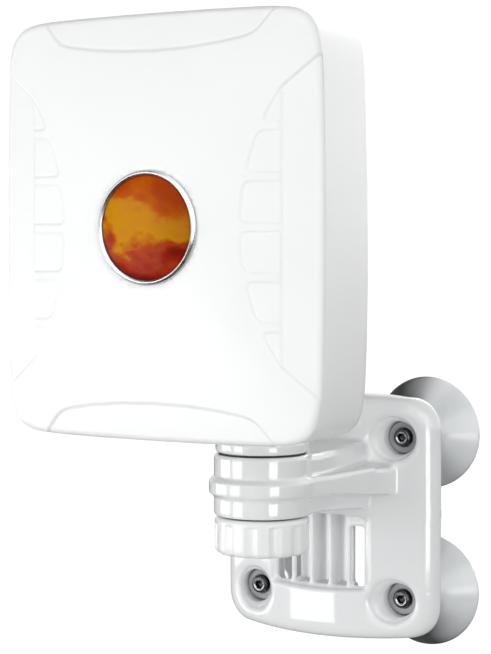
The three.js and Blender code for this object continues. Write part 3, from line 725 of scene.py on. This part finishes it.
# ---- cup washers round the screw heads ----


def cup_washer(corner, side, up):
    low, high = cad_box("screw_washer_" + corner)
    radius = (high[0] - low[0]) / 2
    front, back = low[1], high[1]
    profile = [
        (2.8, back),
        (radius, back),
        (radius, front + 0.1),
        (radius - 0.3, front),
        (5.2, front),
        (4.6, front + 0.35),
        (4.6, back - 1.1),
        (2.8, back - 1.1),
        (2.8, back),
    ]
    profile = rounded_profile(profile, 0.35, 3)
    rings = turned(profile, 72, "y", (side * CUP_OFFSET, up * CUP_OFFSET))
    vertices, faces = join_rings(rings, False, False)
    replaced = ["screw_washer_" + corner]
    piece_from("cup_washer_" + corner, vertices, faces, "bracket", WASHER_GREY, replaced)


for corner, (side, up) in CORNERS.items():
    cup_washer(corner, side, up)


# ---- pan-head screws behind the panel ----


def pan_screw(node):
    low, high = cad_box(node)
    x, z = centre_xz(low, high)
    radius, top = (high[0] - low[0]) / 2, high[1]
    profile = rounded_profile(
        [
            (0.01, low[1]),
            (1.6, low[1]),
            (1.75, low[1] + 0.6),
            (1.75, top - 2.6),
            (radius, top - 2.6),
            (radius, top - 1.2),
            (radius - 1.3, top),
            (0.8, top),
            (0.6, top - 1.1),
            (0.01, top - 1.3),
        ],
        0.8,
        4,
    )
    vertices, faces = join_rings(turned(profile, 48, "y", (x, z)))
    # a cross-shaped driver recess, pressed into the head's middle
    vertices = np.array(vertices)
    dx, dz = vertices[:, 0] - x, vertices[:, 2] - z
    reach = np.hypot(dx, dz)
    arm = np.minimum(np.abs(dx), np.abs(dz))
    press = np.clip((0.75 - arm) / 0.3, 0, 1) * np.clip((2.3 - reach) / 0.4, 0, 1)
    on_top = vertices[:, 1] > top - 0.9
    vertices[:, 1] -= np.where(on_top, press, 0)
    piece_from(
        node + "_head", vertices, faces, "antenna_head", STEEL, [node]
    )


for number in range(1, 5):
    pan_screw(f"foot_screw_{number}")
    pan_screw(f"cover_screw_{number}")


# ---- clamp nut ----


def clamp_nut():
    low, high = nut_low[2], nut_high[2]
    segments = NUT_LOBES * 30
    angle = np.linspace(0, 2 * math.pi, segments, endpoint=False)
    phase = (angle * NUT_LOBES / (2 * math.pi)) % 1 - 0.5
    rings = []

    def ring(radii, z):
        radii = np.broadcast_to(radii, segments)
        x, y = radii * np.cos(angle), AXIS_Y + radii * np.sin(angle)
        rings.append(np.stack([x, y, np.full(segments, z)], 1))

    # height and inset of each ring up the outside, rounded at both rims
    outside = [(low, 2.8), (low + 0.25, 1.8), (low + 0.8, 0.95), (low + 1.6, 0.35), (low + 2.6, 0.05)]
    outside += [(z, 0.0) for z in np.arange(low + 3.4, high - 3.4, 0.9)]
    outside += [(z, 0.0) for z in np.arange(high - 3.3, high - 1.7, 0.25)]
    outside += [(high - 1.5, 0.05), (high - 0.9, 0.3), (high - 0.35, 0.8), (high, 1.5)]
    ring(12.4, low + 0.3)
    ring(13.0, low)
    for z, inset in outside:
        # a flute is a shallow valley that ends in a rounded top under the plain rim
        fade = np.clip((high - 2.0 - z) / 1.3, 0, 1)
        width = 0.27 * math.sqrt(fade) if fade > 0 else 1e-6
        flute = np.clip(1 - (phase / width) ** 2, 0, 1) * fade
        ring(NUT_RADIUS - inset - flute, z)
    ring(17.6, high)
    ring(17.4, high - 0.2)
    ring(17.4, high - 0.65)
    ring(12.5, high - 0.65)
    vertices, faces = join_rings(rings, False, False)
    last = (len(rings) - 1) * segments
    following = [(i + 1) % segments for i in range(segments)]
    faces += [(last + i, last + j, j, i) for i, j in enumerate(following)]
    return piece_from("fluted_nut", vertices, faces, "clamp_nut", NUT_WHITE, ["clamp_nut"])


clamp_nut()


# ---- swivel foot ----


def foot_shape(x, y, z):
    """Collar, threaded spigot, elbow and flange of the swivel foot."""
    from_axis = np.hypot(x, y - AXIS_Y)
    collar = smooth_max(from_axis - COLLAR_RADIUS, np.abs(z - 39.7) - 2.6, 1.2)
    spigot = smooth_max(from_axis - SPIGOT_RADIUS, np.abs(z - 24) - 15, 1)
    thread = 11.8 + 0.2 * np.sin(z * math.pi + np.arctan2(y - AXIS_Y, x))
    lower = smooth_max(from_axis - thread, np.abs(z - 3) - 8.5, 0.8)
    body = np.minimum(np.minimum(collar, spigot), lower)

    # the elbow: a curve from the collar to the flange, each point with y, z and radius
    neck = None
    ends = (AXIS_Y, 42.0, 17.0), (AXIS_Y - 2, 84.0, 15.0), (-130.0, FLANGE_Z, 19.5)
    path = []
    for s in np.linspace(0, 1, 11):
        shares = (1 - s) ** 2, 2 * s * (1 - s), s * s
        path.append([sum(w * v for w, v in zip(shares, values)) for values in zip(*ends)])
    for (y0, z0, r0), (y1, z1, r1) in zip(path, path[1:]):
        dy, dz = y1 - y0, z1 - z0
        t = np.clip(((y - y0) * dy + (z - z0) * dz) / (dy * dy + dz * dz), 0, 1)
        off_y, off_z = y - y0 - t * dy, z - z0 - t * dz
        part = np.sqrt(x * x + off_y**2 + off_z**2) - (r0 + t * (r1 - r0))
        neck = part if neck is None else smooth_min(neck, part, 2)
    neck = np.maximum(neck, 40 - z)
    body = smooth_min(body, neck, 5)

    # the web inside the bend, then the flange with its screw seats
    rib = np.maximum(np.abs(x) - 1.6, (y - AXIS_Y - 16) * 0.6 + (z - 60) * 0.8)
    rib = np.maximum(np.maximum(rib, -128.5 - y), 46 - z)
    body = smooth_min(body, np.maximum(rib, (AXIS_Y - 24) - y), 3)
    flange = round_box(np.abs(x), np.abs(z - FLANGE_Z), 31, 24, 9)
    flange = smooth_max(flange, y - FLANGE_BACK_Y, 1.4)
    body = smooth_min(body, flange, 5)
    body = np.maximum(body, FLANGE_FACE_Y - y)
    for sx, sz in ((23, 77.5), (23, 110.5)):
        seat = np.hypot(np.abs(x) - sx, z - sz)
        body = smooth_max(body, -np.maximum(seat - 5.2, FLANGE_BACK_Y - y), 0.8)
    return smooth_max(body, -np.maximum(from_axis - 9, z - 40), 0.8)


moulded(
    "swivel_foot_moulding",
    foot_shape,
    (-33, -133, -7),
    (33, -74, 121),
    0.7,
    "antenna_head",
    WHITE,
    ["swivel_foot"],
)


# ---- panel ----


def soft_square(half_x, half_z, count):
    """Rounded square with slightly bowed sides, as evenly spaced points."""
    t = np.linspace(0, 2 * math.pi, 24001)
    c, s = np.cos(t), np.sin(t)
    u = np.sign(c) * np.abs(c) ** (1 / 6)
    v = np.sign(s) * np.abs(s) ** (1 / 6)
    dense = np.stack([half_x * u - 2 * u * v * v, half_z * v - 1.2 * v * u * u], 1)
    length = np.concatenate([[0], np.cumsum(np.linalg.norm(np.diff(dense, axis=0), axis=1))])
    at = np.linspace(0, length[-1], count, endpoint=False)
    return np.stack([np.interp(at, length, dense[:, n]) for n in (0, 1)], 1)


def polygon_distance(x, z, points):
    """Signed distance to a closed polygon, negative inside."""
    nearest = np.full(x.shape, 1e9)
    inside = np.zeros(x.shape, bool)
    for (ax, az), (bx, bz) in zip(points, points[1:] + points[:1]):
        ex, ez = bx - ax, bz - az
        t = np.clip(((x - ax) * ex + (z - az) * ez) / (ex * ex + ez * ez), 0, 1)
        nearest = np.minimum(nearest, np.hypot(x - ax - t * ex, z - az - t * ez))
        crosses = (az > z) != (bz > z)
        with np.errstate(divide="ignore", invalid="ignore"):
            inside ^= crosses & (x < (bx - ax) * (z - az) / (bz - az) + ax)
    return np.where(inside, -nearest, nearest)


LINE_X = 60.0
LENS_TOP = 55.0
PAD_ARC = 96.0
PAD_APEX = 42.7
PAD_PITCH = 20.0


def step_down(distance, width):
    """0 outside an outline, 1 inside, with a soft wall of the given width on its edge."""
    t = np.clip(0.5 - distance / width, 0, 1)
    return t * t * (3 - 2 * t)


def groove(distance):
    """A fine line pressed in along an outline."""
    return 0.5 * np.clip(1 - np.abs(distance) / 0.75, 0, 1)


def front_relief(x, z):
    """How far the front is pressed in at each point, from the panel's centre."""
    ax, az = np.abs(x), np.abs(z)
    side = [(LINE_X, -LENS_TOP), (90, -79), (90, 79), (LINE_X, LENS_TOP)]
    to_side = polygon_distance(ax, z, side)
    depth = 0.9 * step_down(to_side, 1.3) + groove(to_side)
    curve = [(-9, 72.7), (0, 72.6), (16, 73.1), (31, 74.5), (42, 76.2), (46, 77.4), (49, 79.6)]
    end = curve + [(60, 92), (-9, 92)]
    to_end = polygon_distance(ax, az, end)
    depth = np.maximum(depth, 0.9 * step_down(to_end, 1.3) + groove(to_end))
    arc = PAD_APEX + PAD_ARC - np.sqrt(PAD_ARC**2 - np.minimum(az, 60) ** 2)
    row = np.abs((az % PAD_PITCH) - PAD_PITCH / 2)
    pad = smooth_max(smooth_max(arc - ax, ax - LINE_X - 2, 0.1), row - 8, 3.2)
    pad = np.maximum(pad, az - 55)
    return np.maximum(depth, 0.4 * step_down(pad, 0.8) + 0.8 * groove(pad))


DOME_CURL = 0.022  # how much of the dome's rise is already used up at its rounded edge


def radome():
    """The domed front shell with its relief and the badge's seat."""
    count = 1200
    round_edge = 2.8
    rings = []

    def level(inset, y, scale=1.0):
        outline = soft_square(PANEL_HALF_WIDTH - inset, PANEL_HALF_HEIGHT - inset, count) * scale
        rings.append(np.stack([outline[:, 0], np.full(count, float(y)), outline[:, 1]], 1))

    level(2.4, PANEL_EDGE_Y + 12)
    level(2.4, PANEL_BACK_EDGE_Y)
    level(0.35, PANEL_BACK_EDGE_Y)
    level(0.0, PANEL_BACK_EDGE_Y - 0.35)
    for y in np.linspace(PANEL_BACK_EDGE_Y - 2, PANEL_EDGE_Y + round_edge + 0.5, 12):
        level(0, y)
    for step in np.linspace(0, 1, 11):
        angle = step * math.pi / 2
        inset, back = round_edge * (1 - math.cos(angle)), round_edge * (1 - math.sin(angle))
        rise = DOME_RISE * DOME_CURL * step**2
        level(inset, PANEL_EDGE_Y + back - rise)
    base = soft_square(PANEL_HALF_WIDTH - round_edge, PANEL_HALF_HEIGHT - round_edge, count)
    fine = np.arange(0.992, 0.42, -0.0075)
    coarse = np.arange(fine[-1] - 0.02, 0.03, -0.02)
    for scale in np.concatenate([fine, coarse]):
        x, z = base[:, 0] * scale, base[:, 1] * scale
        y = PANEL_EDGE_Y - DOME_RISE * (1 - scale**2) * (1 - DOME_CURL) - DOME_RISE * DOME_CURL
        rings.append(np.stack([x, np.full(count, y), z], 1))
    rings = np.array(rings)
    front = rings[:, :, 1] < PANEL_EDGE_Y + round_edge
    relief = front_relief(rings[:, :, 0], rings[:, :, 2])
    rings[:, :, 1] += np.where(front, relief, 0)
    # seat for the badge
    from_centre = np.hypot(rings[:, :, 0], rings[:, :, 2])
    seat = cad_box("badge_bezel")[1][1] + 0.1
    well = np.where(front, step_down(from_centre - BADGE_WELL_RADIUS, 0.6), 0)
    deep = np.maximum(rings[:, :, 1], seat)
    rings[:, :, 1] = rings[:, :, 1] * (1 - well) + deep * well
    rings[:, :, 2] += PANEL_Z
    vertices, faces = join_rings(rings, False, True)
    return piece_from(
        "radome_shell", vertices, faces, "antenna_head", RADOME, ["radome_front"]
    )


radome()


def back_cover():
    """The stepped rear cover, with counterbores for its corner screws."""
    count = 400
    profile = [
        (3.4, PANEL_BACK_EDGE_Y - 3),
        (3.4, PANEL_BACK_EDGE_Y + 0.3),
        (1.2, PANEL_BACK_EDGE_Y + 0.3),
        (1.2, PANEL_BACK_EDGE_Y + 1.9),
        (9, -139),
        (14.5, -133.6),
        (17.8, COVER_BACK_Y),
        (24, COVER_BACK_Y),
    ]
    profile = rounded_profile(profile, 2.6, 6)
    rings = []
    for inset, y in profile:
        outline = soft_square(PANEL_HALF_WIDTH - inset, PANEL_HALF_HEIGHT - inset, count)
        rings.append(np.stack([outline[:, 0], np.full(count, y), outline[:, 1]], 1))
    last = rings[-1]
    for scale in np.arange(0.95, 0.02, -0.05):
        rings.append(last * np.array([scale, 1, scale]))
    rings = np.array(rings)
    rings[:, :, 2] += PANEL_Z
    vertices, faces = join_rings(rings)
    piece = piece_from(
        "back_cover_shell", vertices, faces, "antenna_head", COVER, ["back_cover"]
    )
    # counterbores for the corner screws
    for number in range(1, 5):
        low, high = cad_box(f"cover_screw_{number}")
        x, z = centre_xz(low, high)
        profile = [(0.01, -144.9), (4.7, -144.9), (4.7, -138), (5.6, -130), (0.01, -130)]
        cutter_vertices, cutter_faces = join_rings(turned(profile, 48, "y", (x, z)))
        mesh = bpy.data.meshes.new("cutter")
        mesh.from_pydata((cutter_vertices * MM).tolist(), [], cutter_faces)
        cutter = bpy.data.objects.new("cutter", mesh)
        bpy.context.scene.collection.objects.link(cutter)
        cut = piece.modifiers.new("cut", "BOOLEAN")
        cut.operation = "DIFFERENCE"
        cut.solver = "EXACT"
        cut.object = cutter
        depsgraph = bpy.context.evaluated_depsgraph_get()
        made = bpy.data.meshes.new_from_object(piece.evaluated_get(depsgraph))
        piece.modifiers.clear()
        piece.data = made
        bpy.data.objects.remove(cutter)
    made.shade_smooth()
    return piece


back_cover()


# ---- badge ----

disc_low, disc_high = cad_box("badge_disc")
bezel_low, bezel_high = cad_box("badge_bezel")
bezel_radius = (bezel_high[0] - bezel_low[0]) / 2
bezel_profile = rounded_profile(
    [
        (BADGE_INNER_RADIUS, bezel_high[1]),
        (bezel_radius, bezel_high[1]),
        (bezel_radius, bezel_high[1] - 1.2),
        (22.7, bezel_low[1]),
        (22.2, bezel_low[1]),
        (BADGE_INNER_RADIUS, bezel_high[1] - 1.7),
        (BADGE_INNER_RADIUS, bezel_high[1]),
    ],
    0.5,
    4,
)
vertices, faces = join_rings(turned(bezel_profile, 128, "y", (0, PANEL_Z)), False, False)
piece_from("badge_rim", vertices, faces, "antenna_head", CHROME, ["badge_bezel"])

dome_low = cad_box("badge_dome")[0][1]
dome_radius = 21.3
dome_profile = [(0.01, disc_high[1]), (dome_radius, disc_high[1]), (dome_radius + 0.05, disc_low[1])]
for t in np.linspace(0, 1, 24):
    radius = dome_radius * math.cos(t * math.pi / 2)
    height = (disc_low[1] - dome_low) * (1 - (radius / dome_radius) ** 2) ** 0.7
    dome_profile.append((max(radius, 0.01), disc_low[1] - 0.1 - height))
vertices, faces = join_rings(turned(dome_profile, 128, "y", (0, PANEL_Z)))
piece_from(
    "badge_amber_dome",
    vertices,
    faces,
    "antenna_head",
    AMBER,
    ["badge_disc", "badge_dome"],
)


# ---- floor, light and background ----

FLOOR_Z = -0.30
SEEN_WHITE = 1.05  # the floor and the background as the camera sees them, just past white


def stage_floor():
    """A pale floor: white to the camera, matt for diffuse light and dim in reflections."""
    size = 14.0
    mesh = bpy.data.meshes.new("floor")
    corners = [(sx * size, sy * size, FLOOR_Z) for sx, sy in ((-1, -1), (1, -1), (1, 1), (-1, 1))]
    mesh.from_pydata(corners, [], [(0, 1, 2, 3)])
    floor = bpy.data.objects.new("floor", mesh)
    bpy.context.scene.collection.objects.link(floor)
    n = Nodes("floor_paper")
    patch = n.noise(3, 2).outputs["Fac"]
    n.set(Base_Color=n.ramp(patch, [(0.3, (0.6, 0.6, 0.6)), (0.7, (0.66, 0.66, 0.66))]), Roughness=0.9)
    white = {"Color": (1, 1, 1, 1)}
    glow = n.add("ShaderNodeEmission", {**white, "Strength": SEEN_WHITE}).outputs["Emission"]
    dim = n.add("ShaderNodeEmission", {**white, "Strength": 0.04}).outputs["Emission"]
    path = n.add("ShaderNodeLightPath").outputs
    paper = {0: path["Is Glossy Ray"], 1: n.shader.outputs["BSDF"], 2: dim}
    lit = n.add("ShaderNodeMixShader", paper).outputs["Shader"]
    mix = n.add("ShaderNodeMixShader", {0: path["Is Camera Ray"], 1: lit, 2: glow})
    n.tree.links.new(mix.outputs["Shader"], n.tree.nodes["Material Output"].inputs["Surface"])
    mesh.materials.append(n.material)


stage_floor()


LIGHT_TARGET = Vector((0, -0.1, 0.08))  # metres, like all of the lights


def soft_box(name, azimuth, elevation, distance, width, height, power, mirrored=True):
    """A rectangular light facing the object, placed by its direction from it in degrees."""
    a, e = math.radians(azimuth), math.radians(elevation)
    back = Vector((math.sin(a) * math.cos(e), -math.cos(a) * math.cos(e), math.sin(e)))
    data = bpy.data.lights.new(name, "AREA")
    data.shape = "RECTANGLE"
    data.size, data.size_y = width, height
    data.energy = power
    light = bpy.data.objects.new(name, data)
    light.location = LIGHT_TARGET + back * distance
    light.visible_glossy = mirrored
    light.rotation_euler = (-back).to_track_quat("-Z", "Y").to_euler()
    bpy.context.scene.collection.objects.link(light)


soft_box("key_left", -34, 6, 1.7, 0.9, 0.9, 4.4)
soft_box("low_fill", 8, -9, 1.2, 0.6, 0.3, 1.4, mirrored=False)
soft_box("low_left", -70, -8, 1.2, 0.7, 0.3, 3.2)
soft_box("front_top", -15, 46, 1.5, 1.0, 0.6, 2.6)
soft_box("fill_right", 62, 16, 1.7, 0.9, 0.9, 4.2)
soft_box("low_front", -31, -14, 1.0, 0.42, 0.32, 1.7)
soft_box("low_right", 56, -9, 1.4, 0.5, 0.28, 2.6)
soft_box("behind", 182, 18, 2.2, 1.4, 1.2, 13)


# The room's glow: a level all round, and more to the right, ahead and above.
ROOM_LEVEL = 0.08
ROOM_GLOW = [("X", -0.3, 0.8, 0.3), ("Y", 0.2, -0.8, 0.17), ("Z", 0.0, 0.8, 0.14)]

# What glossy surfaces mirror: a dark room with wide bright screens to the right and behind.
MIRROR_LEVEL = 0.0
MIRROR_GLOW = [("X", -0.5, 0.1, 1.5), ("Y", 0.0, -0.9, 0.2), ("Y", 0.1, 0.8, 1.1)]


def studio_world():
    """Soft glow for matt surfaces, a room of contrasts for glossy ones, white to the camera."""
    world = bpy.data.worlds.new("studio")
    world.use_nodes = True
    bpy.context.scene.world = world
    tree = world.node_tree
    tree.nodes.clear()
    add, link = tree.nodes.new, tree.links.new
    place = add("ShaderNodeTexCoord")
    parts = add("ShaderNodeSeparateXYZ")
    link(place.outputs["Generated"], parts.inputs["Vector"])

    def span(source, low, high, to_low, to_high):
        node = add("ShaderNodeMapRange")
        node.interpolation_type = "SMOOTHSTEP"
        settings = {"From Min": low, "From Max": high, "To Min": to_low, "To Max": to_high}
        for key, value in settings.items():
            node.inputs[key].default_value = value
        link(source, node.inputs["Value"])
        return node.outputs["Result"]

    def backdrop(level, glow):
        total = add("ShaderNodeValue").outputs["Value"]
        total.default_value = level
        for axis, low, high, strength in glow:
            part = span(parts.outputs[axis], low, high, 0, strength)
            both = add("ShaderNodeMath")
            both.operation = "ADD"
            link(total, both.inputs[0])
            link(part, both.inputs[1])
            total = both.outputs["Value"]
        made = add("ShaderNodeBackground")
        made.inputs["Color"].default_value = (1, 1, 1, 1)
        link(total, made.inputs["Strength"])
        return made

    room = backdrop(ROOM_LEVEL, ROOM_GLOW)
    mirrored = backdrop(MIRROR_LEVEL, MIRROR_GLOW)
    seen = add("ShaderNodeBackground")
    seen.inputs["Color"].default_value = (1, 1, 1, 1)
    seen.inputs["Strength"].default_value = SEEN_WHITE
    path = add("ShaderNodeLightPath")
    either = add("ShaderNodeMixShader")
    link(path.outputs["Is Glossy Ray"], either.inputs["Fac"])
    link(room.outputs["Background"], either.inputs[1])
    link(mirrored.outputs["Background"], either.inputs[2])
    mix = add("ShaderNodeMixShader")
    link(path.outputs["Is Camera Ray"], mix.inputs["Fac"])
    link(either.outputs["Shader"], mix.inputs[1])
    link(seen.outputs["Background"], mix.inputs[2])
    out = add("ShaderNodeOutputWorld")
    link(mix.outputs["Shader"], out.inputs["Surface"])


studio_world()
bpy.context.scene.view_settings.view_transform = "Standard"
